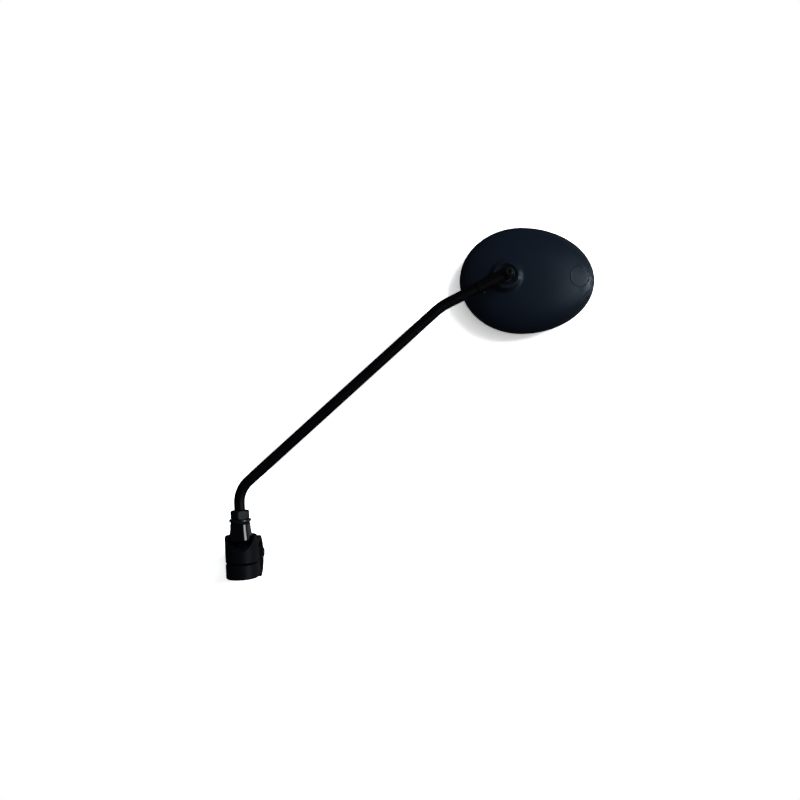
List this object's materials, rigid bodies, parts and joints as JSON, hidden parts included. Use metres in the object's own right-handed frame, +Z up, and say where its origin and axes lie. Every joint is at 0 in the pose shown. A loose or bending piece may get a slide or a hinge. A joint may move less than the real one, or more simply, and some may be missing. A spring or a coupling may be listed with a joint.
{
  "type": "handlebar mirror",
  "caption": "Clamp-on rear-view mirror: hinged bar clamp, leaning foot, bent mast and an egg-shaped head on a ball joint.",
  "frame": {"origin": "centre of the clamp's bore, half-way along the band", "axes": "+X along the bar towards its outer end, +Y back at the rider, +Z up along the foot"},
  "size_m": [0.2742, 0.0577, 0.2471],
  "materials": {
    "clamp_plastic": "moulded glass-filled nylon, satin black",
    "bright_steel": "zinc-plated steel",
    "liner_rubber": "black rubber, matt",
    "black_steel": "black zinc plate",
    "brass": "turned brass",
    "nylon_black": "moulded nylon, matt black",
    "foot_gloss": "gloss black enamel",
    "mast_coat": "matt black powder coat",
    "shell_plastic": "moulded plastic, satin blue-black",
    "foam": "closed-cell foam",
    "mirror": "silvered convex glass"
  },
  "bodies": {
    "clamp": {"clamp_body": "clamp_plastic", "clamp_jaw": "clamp_plastic", "hinge_pin": "bright_steel", "bar_liner_upper": "liner_rubber", "bar_liner_lower": "liner_rubber", "clamp_screws": "black_steel", "clamp_inserts": "brass", "ball_cup": "nylon_black", "tension_screw": "black_steel", "tension_insert": "brass"},
    "foot": {"foot": "foot_gloss", "foot_insert": "brass", "seal_ring": "liner_rubber", "washer": "black_steel"},
    "mast": {"lock_nut": "black_steel", "mast": "mast_coat", "arm_end": "mast_coat", "cross_pin": "black_steel"},
    "stud": {"ball_stud": "bright_steel", "eye_screw": "black_steel", "eye_washer": "black_steel"},
    "liner": {"head_liner": "nylon_black"},
    "head": {"shell": "shell_plastic", "pressure_cup": "nylon_black", "disc_spring": "bright_steel", "retainer_plate": "bright_steel", "plate_screws": "bright_steel", "glass_carrier": "nylon_black", "glass_pad": "foam", "mirror_glass": "mirror", "rim_seal": "liner_rubber"}
  },
  "joints": [
    {"name": "foot_lean", "type": "hinge", "parent": "clamp", "child": "foot", "pos_m": [0, -0.026, 0.006], "axis": [1, 0, 0], "range_deg": [0, 25]},
    {"name": "mast_swivel", "type": "hinge", "parent": "foot", "child": "mast", "pos_m": [0, -0.026, 0.04], "axis": [0, 0, 1], "range_deg": [-90, 60]},
    {"name": "head_roll", "type": "hinge", "parent": "mast", "child": "stud", "pos_m": [0.19509, -0.0075, 0.19464], "axis": [0, -1, 0], "range_deg": [-90, 90]},
    {"name": "head_tilt", "type": "hinge", "parent": "stud", "child": "liner", "pos_m": [0.19509, -0.0075, 0.19464], "axis": [1, 0, 0], "range_deg": [-15, 15]},
    {"name": "head_pan", "type": "hinge", "parent": "liner", "child": "head", "pos_m": [0.19509, -0.0075, 0.19464], "axis": [0, 0, 1], "range_deg": [-15, 15]}
  ]
}
